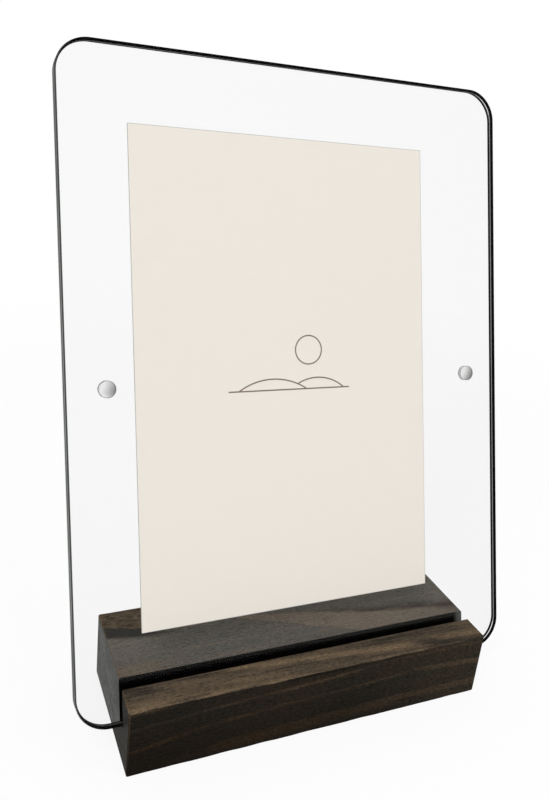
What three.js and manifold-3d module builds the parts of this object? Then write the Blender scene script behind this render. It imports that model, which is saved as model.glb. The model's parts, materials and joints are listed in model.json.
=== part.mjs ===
// A photo stand: two clear acrylic panes, drawn together by disc magnets, clasp a paper print between them
// and lean back in an inclined slot that is cut across a stained wooden block.
// Millimetres, +Z up, +Y towards the back. The origin is the middle of the block's underside.
import * as THREE from 'three';
import { RoundedBoxGeometry } from 'three/addons/geometries/RoundedBoxGeometry.js';
import { mergeVertices } from 'three/addons/utils/BufferGeometryUtils.js';
import Module from 'manifold-3d';

// The wooden block, one solid piece with eased edges.
const BLOCK_WIDTH = 123.5;
const BLOCK_DEPTH = 48;
const BLOCK_HEIGHT = 23.3;
const BLOCK_EDGE_EASE = 0.5;
const BLOCK_EDGE_STEPS = 2;

// The slot: a straight cut from end to end, as inclined as the panes, with a floor square to its cheeks.
const SLOT_LEAN = THREE.MathUtils.degToRad(18);
const SLOT_SETBACK = 10;
const SLOT_DEPTH = 11.5;
const SLOT_CHEEK_CLEARANCE = 0.5;
const SLOT_FLOOR_CLEARANCE = 0.3;

// The two acrylic panes, alike, with rounded corners and lightly broken edges.
const PANE_WIDTH = 150;
const PANE_HEIGHT = 198.5;
const PANE_THICKNESS = 2;
const PANE_CORNER_RADIUS = 10;
const PANE_EDGE_BREAK = 0.2;
const PANE_ARC_STEPS = 12;

// The paper print, placed by hand a little off the middle of the panes.
const PRINT_WIDTH = 100;
const PRINT_HEIGHT = 150;
const PRINT_THICKNESS = 0.3;
const PRINT_FACE_CLEARANCE = 0.15;
const PRINT_SHIFT_LEFT = 5;
const PRINT_SHIFT_UP = 1.8;

// The disc magnets, glued in blind pockets at half the panes' height, flush with the panes' inner faces.
const MAGNET_DIAMETER = 5;
const MAGNET_THICKNESS = 1;
const MAGNET_EDGE_BREAK = 0.2;
const MAGNET_INSET = 12;
const MAGNET_GLUE_LINE = 0.1;
const MAGNET_SIDES = 40;

// How far the slot's cutter runs past the wood at each end and at the top.
const CUTTER_OVERRUN = 2;

// The stack from front to back, measured square to the panes from the slot's front cheek.
const frontPaneFace = SLOT_CHEEK_CLEARANCE;
const printFace = frontPaneFace + PANE_THICKNESS + PRINT_FACE_CLEARANCE;
const rearPaneFace = printFace + PRINT_THICKNESS + PRINT_FACE_CLEARANCE;
const slotWidth = rearPaneFace + PANE_THICKNESS + SLOT_CHEEK_CLEARANCE;
const paneFoot = SLOT_FLOOR_CLEARANCE - SLOT_DEPTH;
const paneMiddle = paneFoot + PANE_HEIGHT / 2;
const magnetReach = PANE_WIDTH / 2 - MAGNET_INSET;

const stainedWood = new THREE.MeshStandardMaterial({ color: 0x352d26, roughness: 0.6, metalness: 0 });
const clearAcrylic = new THREE.MeshStandardMaterial({
  color: 0xf1f4f3,
  roughness: 0.05,
  metalness: 0,
  transparent: true,
  opacity: 0.25,
});
const mattePaper = new THREE.MeshStandardMaterial({ color: 0xeae4db, roughness: 0.85, metalness: 0 });
const nickelPlate = new THREE.MeshStandardMaterial({ color: 0xc8c8c6, roughness: 0.2, metalness: 1 });

const wasm = await Module();
wasm.setup();

// A closed three.js geometry as a solid that can be cut.
function solidFrom(geometry) {
  const bare = geometry.clone();
  bare.deleteAttribute('normal');
  bare.deleteAttribute('uv');
  const merged = mergeVertices(bare);
  const mesh = new wasm.Mesh({
    numProp: 3,
    vertProperties: new Float32Array(merged.attributes.position.array),
    triVerts: new Uint32Array(merged.index.array),
  });
  return new wasm.Manifold(mesh);
}

// A solid back as a three.js geometry.
function geometryFrom(solid) {
  const mesh = solid.getMesh();
  const geometry = new THREE.BufferGeometry();
  geometry.setAttribute('position', new THREE.BufferAttribute(new Float32Array(mesh.vertProperties), 3));
  geometry.setIndex(new THREE.BufferAttribute(new Uint32Array(mesh.triVerts), 1));
  geometry.computeVertexNormals();
  return geometry;
}

function namedMesh(name, geometry, material) {
  const mesh = new THREE.Mesh(geometry, material.clone());
  mesh.name = name;
  return mesh;
}

// An upright sheet made from an outline in width and height: its front face lies at y = 0 and it runs back.
function uprightSheet(outline, thickness, edgeBreak, arcSteps) {
  const geometry = new THREE.ExtrudeGeometry(outline, {
    depth: thickness - 2 * edgeBreak,
    bevelEnabled: edgeBreak > 0,
    bevelThickness: edgeBreak,
    bevelSize: edgeBreak,
    bevelOffset: -edgeBreak,
    bevelSegments: 1,
    curveSegments: arcSteps,
  });
  geometry.translate(0, 0, edgeBreak - thickness);
  geometry.rotateX(Math.PI / 2);
  return geometry;
}

// The leaning frame has its origin at the slot's front lip, z up along the slot and y square to the panes.
function leaningGroup() {
  const group = new THREE.Group();
  group.position.set(0, SLOT_SETBACK - BLOCK_DEPTH / 2, BLOCK_HEIGHT);
  group.rotation.x = -SLOT_LEAN;
  group.updateMatrix();
  return group;
}

function blockGeometry(slotFrame) {
  const timber = new RoundedBoxGeometry(
    BLOCK_WIDTH,
    BLOCK_DEPTH,
    BLOCK_HEIGHT,
    BLOCK_EDGE_STEPS,
    BLOCK_EDGE_EASE,
  );
  timber.translate(0, 0, BLOCK_HEIGHT / 2);
  const cutterTop = slotWidth * Math.tan(SLOT_LEAN) + CUTTER_OVERRUN;
  const cutter = new THREE.BoxGeometry(BLOCK_WIDTH + 2 * CUTTER_OVERRUN, slotWidth, SLOT_DEPTH + cutterTop);
  cutter.translate(0, slotWidth / 2, (cutterTop - SLOT_DEPTH) / 2);
  cutter.applyMatrix4(slotFrame.matrix);
  return geometryFrom(solidFrom(timber).subtract(solidFrom(cutter)));
}

// A rectangle with rounded corners, centred in width and standing on y = 0.
function paneOutline() {
  const right = PANE_WIDTH / 2;
  const r = PANE_CORNER_RADIUS;
  const quarter = Math.PI / 2;
  const outline = new THREE.Shape();
  outline.moveTo(r - right, 0);
  outline.absarc(right - r, r, r, -quarter, 0, false);
  outline.absarc(right - r, PANE_HEIGHT - r, r, 0, quarter, false);
  outline.absarc(r - right, PANE_HEIGHT - r, r, quarter, 2 * quarter, false);
  outline.absarc(r - right, r, r, 2 * quarter, 3 * quarter, false);
  return outline;
}

// A pane with a blind pocket for each magnet, given the y of the magnets' middle behind the pane's front face.
function paneGeometry(magnetMiddle) {
  const sheet = uprightSheet(paneOutline(), PANE_THICKNESS, PANE_EDGE_BREAK, PANE_ARC_STEPS);
  const pocketRadius = MAGNET_DIAMETER / 2 + MAGNET_GLUE_LINE;
  const pocketLength = MAGNET_THICKNESS + 2 * MAGNET_GLUE_LINE;
  let pane = solidFrom(sheet);
  for (const x of [-magnetReach, magnetReach]) {
    const pocket = new THREE.CylinderGeometry(pocketRadius, pocketRadius, pocketLength, MAGNET_SIDES);
    pocket.translate(x, magnetMiddle, PANE_HEIGHT / 2);
    pane = pane.subtract(solidFrom(pocket));
  }
  return geometryFrom(pane);
}

// A disc with broken edges, its axis along y and its middle at the origin.
function magnetGeometry() {
  const radius = MAGNET_DIAMETER / 2;
  const half = MAGNET_THICKNESS / 2;
  const profile = [
    new THREE.Vector2(0, -half),
    new THREE.Vector2(radius - MAGNET_EDGE_BREAK, -half),
    new THREE.Vector2(radius, MAGNET_EDGE_BREAK - half),
    new THREE.Vector2(radius, half - MAGNET_EDGE_BREAK),
    new THREE.Vector2(radius - MAGNET_EDGE_BREAK, half),
    new THREE.Vector2(0, half),
  ];
  return new THREE.LatheGeometry(profile, MAGNET_SIDES);
}

// A pane with its pair of magnets, given the y of the pane's front face and of the magnets' middle.
function paneWithMagnets(side, paneFace, magnetMiddle) {
  const group = new THREE.Group();
  const pane = namedMesh(`${side}_pane`, paneGeometry(magnetMiddle - paneFace), clearAcrylic);
  pane.position.set(0, paneFace, paneFoot);
  group.add(pane);
  for (const [hand, x] of [['left', -magnetReach], ['right', magnetReach]]) {
    const magnet = namedMesh(`${side}_${hand}_magnet`, magnetGeometry(), nickelPlate);
    magnet.position.set(x, magnetMiddle, paneMiddle);
    group.add(magnet);
  }
  return group;
}

function printOutline() {
  const outline = new THREE.Shape();
  outline.moveTo(-PRINT_WIDTH / 2, -PRINT_HEIGHT / 2);
  outline.lineTo(PRINT_WIDTH / 2, -PRINT_HEIGHT / 2);
  outline.lineTo(PRINT_WIDTH / 2, PRINT_HEIGHT / 2);
  outline.lineTo(-PRINT_WIDTH / 2, PRINT_HEIGHT / 2);
  return outline;
}

const sandwich = leaningGroup();

const print = namedMesh('photo_print', uprightSheet(printOutline(), PRINT_THICKNESS, 0, 1), mattePaper);
print.position.set(-PRINT_SHIFT_LEFT, printFace, paneMiddle + PRINT_SHIFT_UP);

const frontInnerFace = frontPaneFace + PANE_THICKNESS;
sandwich.add(paneWithMagnets('front', frontPaneFace, frontInnerFace - MAGNET_THICKNESS / 2));
sandwich.add(print);
sandwich.add(paneWithMagnets('rear', rearPaneFace, rearPaneFace + MAGNET_THICKNESS / 2));

const photoStand = new THREE.Group();
photoStand.add(namedMesh('base_block', blockGeometry(sandwich), stainedWood));
photoStand.add(sandwich);

export default photoStand;
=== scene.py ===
import json
import math

import bmesh
import bpy
from mathutils import Matrix, Vector, noise


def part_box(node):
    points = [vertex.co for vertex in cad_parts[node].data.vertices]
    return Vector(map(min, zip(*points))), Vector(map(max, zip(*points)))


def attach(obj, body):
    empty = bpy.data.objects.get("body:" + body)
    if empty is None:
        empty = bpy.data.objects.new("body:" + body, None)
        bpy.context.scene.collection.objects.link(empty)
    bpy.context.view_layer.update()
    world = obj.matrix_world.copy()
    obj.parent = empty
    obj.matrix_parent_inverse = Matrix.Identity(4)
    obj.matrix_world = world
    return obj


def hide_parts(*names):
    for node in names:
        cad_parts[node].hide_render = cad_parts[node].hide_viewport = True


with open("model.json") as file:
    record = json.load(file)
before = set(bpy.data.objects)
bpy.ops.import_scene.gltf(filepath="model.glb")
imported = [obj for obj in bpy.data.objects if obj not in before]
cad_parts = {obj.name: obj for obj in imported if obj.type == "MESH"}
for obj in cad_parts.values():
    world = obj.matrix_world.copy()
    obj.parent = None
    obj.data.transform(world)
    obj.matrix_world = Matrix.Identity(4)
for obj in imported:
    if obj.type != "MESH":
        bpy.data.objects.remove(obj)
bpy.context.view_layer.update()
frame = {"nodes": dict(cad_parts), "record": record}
MM = 0.001

# Camera. The picture is taken from close by, to the left of the stand and above it, with the camera
# tipped to one side. Its place and angles come from fitting the block and the panes to the photograph.
CAMERA_PLACE = Vector((-108.1, -202.2, 192.7)) * MM
CAMERA_HEADING = math.radians(26.79)
CAMERA_DOWN = math.radians(18.87)
CAMERA_ROLL = math.radians(6.96)
CAMERA_LENS = 35.95
CAMERA_SHIFT = (-0.0449, -0.0361)
CAMERA_NEAR = 0.01

camera_data = bpy.data.cameras.new("camera")
camera_data.lens = CAMERA_LENS
camera_data.shift_x, camera_data.shift_y = CAMERA_SHIFT
camera_data.clip_start = CAMERA_NEAR
camera = bpy.data.objects.new("camera", camera_data)
heading = Matrix.Rotation(-CAMERA_HEADING, 4, "Z")
tilt = Matrix.Rotation(math.pi / 2 - CAMERA_DOWN, 4, "X")
roll = Matrix.Rotation(CAMERA_ROLL, 4, "Z")
camera.matrix_world = Matrix.Translation(CAMERA_PLACE) @ heading @ tilt @ roll
bpy.context.scene.collection.objects.link(camera)
bpy.context.scene.camera = camera

# Wooden block. One piece of dark-stained hardwood with its grain running from end to end. The slot
# for the panes is a straight inclined saw cut, and the outer edges are eased by hand with sandpaper.
SLOT_CHEEK_PLAY = 0.5 * MM
SLOT_FLOOR_PLAY = 0.3 * MM
BLOCK_EDGE_ROUND = 0.5 * MM
SLOT_EDGE_SHARE = 0.35
BLOCK_ROUND_STEPS = 3
BLOCK_SLICES = 82
EDGE_WEAR = 0.1 * MM
EDGE_WEAR_LENGTH = 9 * MM
UPRIGHT_EDGE_WEAR = 0.05
WORN_TAN = (0.190, 0.134, 0.080, 1)
RUBBED_SHARE = 0.5

to_right = Vector((1, 0, 0))
up_slot = Vector(frame["record"]["behaviour"]["joints"][0]["axis"]).normalized()
square = Vector((0, up_slot.z, -up_slot.y))
block_low, block_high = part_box("base_block")


def span(node, direction):
    """How far a node reaches along a direction, low and high."""
    reach = [direction.dot(v.co) for v in frame["nodes"][node].data.vertices]
    return min(reach), max(reach)


def show(name, mesh, body, slot, *nodes):
    """A finished mesh as a piece that rides on a body and stands for CAD nodes."""
    piece = bpy.data.objects.new(name, mesh)
    bpy.context.scene.collection.objects.link(piece)
    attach(piece, body)
    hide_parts(*nodes)
    return piece


def applied(piece):
    """The mesh of a piece with its modifiers, and the piece itself taken away."""
    graph = bpy.context.evaluated_depsgraph_get()
    mesh = bpy.data.meshes.new_from_object(piece.evaluated_get(graph))
    bpy.data.objects.remove(piece)
    return mesh


front_cheek = span("front_pane", square)[0] - SLOT_CHEEK_PLAY
back_cheek = span("rear_pane", square)[1] + SLOT_CHEEK_PLAY
slot_floor = span("rear_pane", up_slot)[0] - SLOT_FLOOR_PLAY


def block_section():
    """The block's outline seen from its end, as (y, z) with the slot's four corners marked True."""

    def corner(cheek, along):
        point = square * cheek + up_slot * along
        return point.y, point.z, True

    def lip(cheek):
        return corner(cheek, (block_high.z - square.z * cheek) / up_slot.z)

    return [
        (block_low.y, block_low.z, False),
        (block_high.y, block_low.z, False),
        (block_high.y, block_high.z, False),
        lip(back_cheek),
        corner(back_cheek, slot_floor),
        corner(front_cheek, slot_floor),
        lip(front_cheek),
        (block_low.y, block_high.z, False),
    ]


def sawn_block():
    """The block with its slot, cut in slices along the grain, its edges weighted for rounding."""
    SHARP_EDGE = math.radians(30)

    section = block_section()
    bm = bmesh.new()
    weight = bm.edges.layers.float.new("bevel_weight_edge")
    rows = []
    for step in range(BLOCK_SLICES + 1):
        x = block_low.x + (block_high.x - block_low.x) * step / BLOCK_SLICES
        rows.append([bm.verts.new((x, y, z)) for y, z, _ in section])
    count = len(section)
    for low, high in zip(rows, rows[1:]):
        for i in range(count):
            j = (i + 1) % count
            bm.faces.new((low[i], low[j], high[j], high[i]))
    bm.faces.new(rows[0])
    bm.faces.new(rows[-1])
    bmesh.ops.recalc_face_normals(bm, faces=bm.faces)
    in_slot = {v for row in rows for v, corner in zip(row, section) if corner[2]}
    for edge in bm.edges:
        if edge.calc_face_angle_signed() > SHARP_EDGE:
            edge[weight] = SLOT_EDGE_SHARE if in_slot.issuperset(edge.verts) else 1
    mesh = bpy.data.meshes.new("sawn_block")
    bm.to_mesh(mesh)
    bm.free()
    return mesh


def sand_edges(mesh):
    """Wears the rounded edges a little more here than there, and marks them for the finish. Points on a
    flat face and points clear of every edge stay where they are."""
    ON_FACE = 0.02 * BLOCK_EDGE_ROUND
    OFF_EDGE = 0.95 * BLOCK_EDGE_ROUND
    WEAR_LEVEL = 0.1
    WEAR_SPREAD = 1.6

    worn = mesh.attributes.new("worn", "FLOAT", "POINT")
    most_handled = Vector((block_low.x, block_low.y, block_high.z))
    middle = (block_low + block_high) / 2
    for vertex, mark in zip(mesh.vertices, worn.data):
        gaps = []
        for axis in range(3):
            gaps.append(min(vertex.co[axis] - block_low[axis], block_high[axis] - vertex.co[axis]))
        nearest, second, _ = sorted(gaps)
        if nearest < ON_FACE or second > OFF_EDGE:
            continue
        patch = WEAR_LEVEL + WEAR_SPREAD * noise.noise(vertex.co / EDGE_WEAR_LENGTH)
        handled = 1 - (vertex.co - most_handled).length / EDGE_WEAR_LENGTH
        share = 1 if gaps[2] <= BLOCK_EDGE_ROUND else UPRIGHT_EDGE_WEAR
        mark.value = max(0, min(1, max(patch, handled))) * share
        for axis in range(3):
            if gaps[axis] <= BLOCK_EDGE_ROUND:
                vertex.co[axis] -= math.copysign(EDGE_WEAR * mark.value, vertex.co[axis] - middle[axis])


def feed(tree, node, inputs):
    """Gives a node its inputs: a socket is linked, anything else is set."""
    for key, value in inputs.items():
        if isinstance(value, bpy.types.NodeSocket):
            tree.links.new(value, node.inputs[key])
        else:
            node.inputs[key].default_value = value


def add(tree, kind, inputs=None, **settings):
    """A new node with its settings and inputs."""
    made = tree.nodes.new(kind)
    for name, value in settings.items():
        setattr(made, name, value)
    feed(tree, made, inputs or {})
    return made


def calc(tree, operation, *values):
    """The result of one sum on sockets and numbers."""
    return add(tree, "ShaderNodeMath", dict(enumerate(values)), operation=operation).outputs[0]


def times(tree, first, *others):
    """The product of sockets and numbers."""
    product = first
    for other in others:
        product = calc(tree, "MULTIPLY", product, other)
    return product


def less(tree, share, most=1):
    """What is left of 1 when a share of the most is taken from it."""
    return calc(tree, "MULTIPLY_ADD", share, -most, 1)


def swing(tree, value, ripple, gain):
    """A value that a noise moves up and down."""
    return calc(tree, "MULTIPLY_ADD", calc(tree, "SUBTRACT", ripple, 0.5), gain, value)


def ease(tree, value, low, high):
    """A smooth step from 0 at low to 1 at high."""
    inputs = {"Value": value, "From Min": low, "From Max": high}
    return add(tree, "ShaderNodeMapRange", inputs, interpolation_type="SMOOTHSTEP").outputs[0]


def reach_along(tree, place, direction):
    """How far a place lies along a direction."""
    inputs = {0: place, 1: tuple(direction)}
    return add(tree, "ShaderNodeVectorMath", inputs, operation="DOT_PRODUCT").outputs["Value"]


def length_of(tree, vector):
    return add(tree, "ShaderNodeVectorMath", {0: vector}, operation="LENGTH").outputs["Value"]


def scaled(tree, vector, share):
    """A vector or a colour times a number."""
    return add(tree, "ShaderNodeVectorMath", {0: vector, "Scale": share}, operation="SCALE").outputs[0]


def blend(tree, share, first, second):
    """One colour over another by a share."""
    made = add(tree, "ShaderNodeMix", data_type="RGBA")
    sockets = {"Factor_Float": share, "A_Color": first, "B_Color": second}
    for socket in made.inputs:
        value = sockets.get(socket.identifier)
        if isinstance(value, bpy.types.NodeSocket):
            tree.links.new(value, socket)
        elif value is not None:
            socket.default_value = value
    return next(s for s in made.outputs if s.identifier == "Result_Color")


def finish_of(name):
    """A new material with one Principled shader on its output."""
    material = bpy.data.materials.new(name)
    material.use_nodes = True
    tree = material.node_tree
    tree.nodes.clear()
    shader = add(tree, "ShaderNodeBsdfPrincipled")
    add(tree, "ShaderNodeOutputMaterial", {"Surface": shader.outputs["BSDF"]})
    return material, tree, shader


def lay_over(tree, shader, share, other):
    """Lays a second shader over a finish by a share."""
    mix = add(tree, "ShaderNodeMixShader", {0: share, 1: shader.outputs[0], 2: other.outputs[0]})
    output = next(n for n in tree.nodes if n.type == "OUTPUT_MATERIAL")
    feed(tree, output, {"Surface": mix.outputs[0]})


def place_on(tree):
    """The place of a point in the piece's own frame, which is the shared one."""
    return add(tree, "ShaderNodeTexCoord").outputs["Object"]


def even_noise(tree, place, scale, detail):
    """Noise that is alike along every axis."""
    inputs = {"Vector": place, "Scale": scale, "Detail": detail}
    return add(tree, "ShaderNodeTexNoise", inputs).outputs["Fac"]


def stretched_noise(tree, place, scale, detail, roughness=0.5):
    """Noise drawn out by its own scale along each axis, in features per millimetre."""
    drawn = add(tree, "ShaderNodeMapping", {"Vector": place, "Scale": scale})
    inputs = {"Vector": drawn.outputs[0], "Scale": 1, "Detail": detail, "Roughness": roughness}
    return add(tree, "ShaderNodeTexNoise", inputs).outputs["Fac"]


def ramp_of(tree, share, colours):
    """A colour ramp with its stops set, read at a share."""
    ramp = add(tree, "ShaderNodeValToRGB", {"Fac": share})
    stops = ramp.color_ramp.elements
    while len(stops) < len(colours):
        stops.new(0.5)
    for stop, (position, colour) in zip(stops, colours):
        stop.position = position
        stop.color = colour
    return ramp.outputs["Color"]


def wood_places(tree):
    """Where a point of the block lies, in mm from the middle of its front top edge, the face that it is
    on, whether a pane is in front of it, and the noises that its grain is made of."""
    FLAT_TO_UPRIGHT = (0.8, 0.4)
    SIDE_TO_END = (0.74, 0.95)
    PORE_CONTRAST = (0.60, 0.68)

    place = place_on(tree)
    inputs = {0: place, 1: (0, block_low.y, block_high.z)}
    from_edge = add(tree, "ShaderNodeVectorMath", inputs, operation="SUBTRACT").outputs[0]
    in_mm = scaled(tree, from_edge, 1 / MM)
    where = add(tree, "ShaderNodeSeparateXYZ", {0: in_mm}).outputs
    facing = add(tree, "ShaderNodeNewGeometry").outputs["True Normal"]
    facing = add(tree, "ShaderNodeSeparateXYZ", {0: facing}).outputs
    on_side = ease(tree, calc(tree, "ABSOLUTE", facing["Z"]), *FLAT_TO_UPRIGHT)
    on_end = ease(tree, calc(tree, "ABSOLUTE", facing["X"]), *SIDE_TO_END)
    across = reach_along(tree, place, square)
    return {
        "mm": in_mm,
        "along": where["X"],
        "back": where["Y"],
        "up": where["Z"],
        "down": times(tree, where["Z"], -1),
        "across": across,
        "up_slot": reach_along(tree, place, up_slot),
        "behind_slot": ease(tree, across, front_cheek, back_cheek),
        "on_side": on_side,
        "on_end": on_end,
        "on_front": times(tree, on_side, less(tree, on_end)),
        # Rays that came through a pane, where the wood carries the panes' painted reflection.
        "through_panes": add(tree, "ShaderNodeLightPath").outputs["Is Transmission Ray"],
        "fibre": stretched_noise(tree, in_mm, (0.06, 0.9, 0.9), 4, 0.6),
        "fleck": stretched_noise(tree, in_mm, (0.7, 2.0, 2.0), 2),
        "pores": ease(tree, stretched_noise(tree, in_mm, (0.14, 2.6, 2.6), 2), *PORE_CONTRAST),
        "cloud": stretched_noise(tree, in_mm, (0.035, 0.14, 0.14), 3),
        "sway": stretched_noise(tree, in_mm, (0.03, 0.08, 0.08), 2),
    }


def figure_of(tree, along, across, streaks):
    """A face's figure, above 0 on pale streaks and below 0 on dark ones. A streak lies round the line
    that is at its middle at X = 0 and has its slope. It reaches from its near side to its far one, and
    from first to last."""
    FADE = 6
    CORE = 0.3

    figure = 0
    for middle, slope, near, far, first, last, weight in streaks:
        away = calc(tree, "SUBTRACT", across, calc(tree, "MULTIPLY_ADD", along, slope, middle))
        streak = times(
            tree,
            ease(tree, away, -near, -near * CORE),
            ease(tree, away, far, far * CORE),
            ease(tree, along, first - FADE, first + FADE),
            ease(tree, along, last + FADE, last - FADE),
        )
        figure = calc(tree, "MULTIPLY_ADD", streak, weight, figure)
    return figure


def slanting_figure(tree, wood):
    """The figure on the top in front of the slot: above 0 on its pale streaks and below 0 on dark wood."""
    SLANT = 0.1
    SWAY = 2.4
    FRAY = 1.6
    STREAKS = (
        (6.4, 0, 1.8, 1.8, -30, 38, 1.0),
        (9.2, 0, 1.5, 1.5, 43, 68, 0.9),
        (10.0, 0, 2.4, 2.4, 7, 42, -0.60),
        (5.2, 0, 5.0, 3.2, 36, 68, -1.35),
        (3.9, 0, 1.2, 1.2, -16, 13, -0.5),
        (2.5, 0, 2.8, 2.8, -61, -52, -1.5),
        (5.3, 0, 1.4, 1.4, -56, -22, -0.45),
        (12.6, 0, 1.8, 1.8, 30, 54, -0.8),
    )

    across = calc(tree, "MULTIPLY_ADD", wood["along"], SLANT, wood["back"])
    across = swing(tree, across, wood["sway"], SWAY)
    across = swing(tree, across, wood["fibre"], FRAY)
    return figure_of(tree, wood["along"], across, STREAKS)


def front_top_colour(tree, wood):
    """The top in front of the slot: brown, with tan streaks, and rubbed at its left end and front edge."""
    COLOURS = (
        (0.10, (0.030, 0.025, 0.020, 1)),
        (0.50, (0.086, 0.064, 0.043, 1)),
        (0.90, (0.160, 0.112, 0.066, 1)),
    )
    TONE = 0.085
    FIGURE_GAIN = 0.26
    CLOUD_GAIN = 0.2
    CLOUD_CONTRAST = (0.2, 0.8)
    FIBRE_GAIN = 0.44
    FIBRE_CONTRAST = (0.2, 0.7)
    CORNER_BACK = (5, 0.5)
    CORNER_ALONG = (-42, -58)
    EDGE_BACK = (2.1, 0.3)
    EDGE_ALONG = (46, 26)
    EDGE_PATCHES = (0.5, 0.6)

    tone = calc(tree, "MULTIPLY_ADD", slanting_figure(tree, wood), FIGURE_GAIN, TONE)
    tone = calc(tree, "MULTIPLY_ADD", ease(tree, wood["cloud"], *CLOUD_CONTRAST), CLOUD_GAIN, tone)
    tone = calc(tree, "MULTIPLY_ADD", ease(tree, wood["fibre"], *FIBRE_CONTRAST), FIBRE_GAIN, tone)
    corner = times(tree, ease(tree, wood["back"], *CORNER_BACK), ease(tree, wood["along"], *CORNER_ALONG))
    edge = times(tree, ease(tree, wood["back"], *EDGE_BACK), ease(tree, wood["along"], *EDGE_ALONG))
    edge = times(tree, edge, ease(tree, wood["cloud"], *EDGE_PATCHES))
    rubbed = times(tree, calc(tree, "MAXIMUM", corner, edge), RUBBED_SHARE)
    return blend(tree, rubbed, ramp_of(tree, tone, COLOURS), WORN_TAN)


def rear_ground(tree, wood):
    """Wood that is grey with the panes' painted reflection, with tan streaks, rubbed tan at its right end
    and along the left of the slot's lip.
    """
    GREY = (0.094, 0.088, 0.078, 1)
    TAN = (0.128, 0.102, 0.078, 1)
    STREAK_CONTRAST = (0.42, 0.72)
    STREAK_SHARE = 0.6
    RIGHT_END = (48, 62)
    RIGHT_SHARE = 0.25
    LIP_ALONG = (-34, -58)
    LIP_BACK = (23.5, 18)

    streaks = ease(tree, stretched_noise(tree, wood["mm"], (0.02, 0.4, 0.4), 3), *STREAK_CONTRAST)
    streaks = times(tree, streaks, STREAK_SHARE)
    right_end = times(tree, ease(tree, wood["along"], *RIGHT_END), RIGHT_SHARE)
    lip = times(tree, ease(tree, wood["along"], *LIP_ALONG), ease(tree, wood["back"], *LIP_BACK))
    rubbed = calc(tree, "MAXIMUM", right_end, lip)
    return blend(tree, calc(tree, "MAXIMUM", streaks, rubbed), GREY, TAN)


def figure_place(tree, wood, middle, turn, long, wide):
    """The place on the top seen from a figure's middle, in shares of its length and width."""
    FLAT = 1e6

    inputs = {"Vector": wood["mm"], "Location": middle, "Rotation": turn, "Scale": (long, wide, FLAT)}
    return add(tree, "ShaderNodeMapping", inputs, vector_type="TEXTURE").outputs[0]


def pointed_figure(tree, wood, ground):
    """A pale pointed figure over the ground, with a dark band of late wood along one side."""
    PALE = (0.146, 0.119, 0.093, 1)
    DARK = (0.046, 0.035, 0.028, 1)
    POINT = (-22, 35.5, 0)
    TURN = (0, 0, math.radians(-17.5))
    SPREAD = 0.12
    WAVE = 0.7
    FRAY = 0.24
    BORDER = (1.03, 0.95)
    FADE_ALONG = (36, 60)
    FADE_SHARE = 0.4
    BAND_START = (0.66, 0.98)
    BAND_END = (1.45, 1.0)
    BAND_ALONG = (22, 55)
    BAND_PATCHES = (0.35, 0.6)
    BAND_LEAST = 0.5
    BAND_MORE = 0.4

    from_point = figure_place(tree, wood, POINT, TURN, 1, SPREAD)
    from_point = add(tree, "ShaderNodeSeparateXYZ", {0: from_point}).outputs
    reach = calc(tree, "DIVIDE", from_point["Y"], calc(tree, "MAXIMUM", from_point["X"], 1))
    reach = swing(tree, reach, stretched_noise(tree, wood["mm"], (0.05, 0.12, 0.12), 2), WAVE)
    reach = swing(tree, reach, wood["fibre"], FRAY)
    inside = ease(tree, calc(tree, "ABSOLUTE", reach), *BORDER)
    inside = times(tree, inside, less(tree, ease(tree, wood["along"], *FADE_ALONG), FADE_SHARE))
    colour = blend(tree, inside, ground, PALE)
    band = times(tree, ease(tree, reach, *BAND_START), ease(tree, reach, *BAND_END))
    band = times(tree, band, ease(tree, from_point["X"], *BAND_ALONG))
    patches = ease(tree, stretched_noise(tree, wood["mm"], (0.12, 0.3, 0.3), 2), *BAND_PATCHES)
    band = times(tree, band, calc(tree, "MULTIPLY_ADD", patches, BAND_MORE, BAND_LEAST))
    return blend(tree, band, colour, DARK)


def back_figure(tree, wood, ground):
    """A round tan figure that the back edge cuts off, with dark wood beside it at the left."""
    TAN = (0.110, 0.080, 0.051, 1)
    BROWN = (0.048, 0.035, 0.023, 1)
    DARK = (0.031, 0.030, 0.026, 1)
    MIDDLE = (-38, 48.5, 0)
    HALF = (32, 12.5)
    FRAY = 0.12
    BORDER = (1.01, 0.98)
    BESIDE = (1.42, 1.25)
    BESIDE_ALONG = (-34, -50)
    GRAIN_CONTRAST = (0.3, 0.7)

    reach = length_of(tree, figure_place(tree, wood, MIDDLE, (0, 0, 0), *HALF))
    reach = swing(tree, reach, wood["fibre"], FRAY)
    beside = times(tree, ease(tree, reach, *BESIDE), ease(tree, wood["along"], *BESIDE_ALONG))
    colour = blend(tree, beside, ground, DARK)
    grain = ease(tree, stretched_noise(tree, wood["mm"], (0.35, 1.0, 1.0), 3), *GRAIN_CONTRAST)
    return blend(tree, ease(tree, reach, *BORDER), colour, blend(tree, grain, BROWN, TAN))


def rear_top_colour(tree, wood):
    """The flat-sawn top behind the slot. Its colours carry a painted reflection, the faint grey veil that
    the panes lay over the wood behind them, and seen directly, without it, it is browner and darker."""
    BARE_SHARE = (0.78, 0.66, 0.54)
    PAINTED_LIGHT_BACK = (18, 29)
    PAINTED_LIGHT_SHARE = 0.25

    colour = pointed_figure(tree, wood, rear_ground(tree, wood))
    # Painted light towards the back, lifting the shade that the print and panes cast there.
    painted_light = calc(tree, "MULTIPLY_ADD", ease(tree, wood["back"], *PAINTED_LIGHT_BACK), PAINTED_LIGHT_SHARE, 1)
    with_painted_veil = back_figure(tree, wood, scaled(tree, colour, painted_light))
    bare = add(tree, "ShaderNodeVectorMath", {0: with_painted_veil, 1: BARE_SHARE}, operation="MULTIPLY").outputs[0]
    return blend(tree, wood["through_panes"], bare, with_painted_veil)


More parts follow.
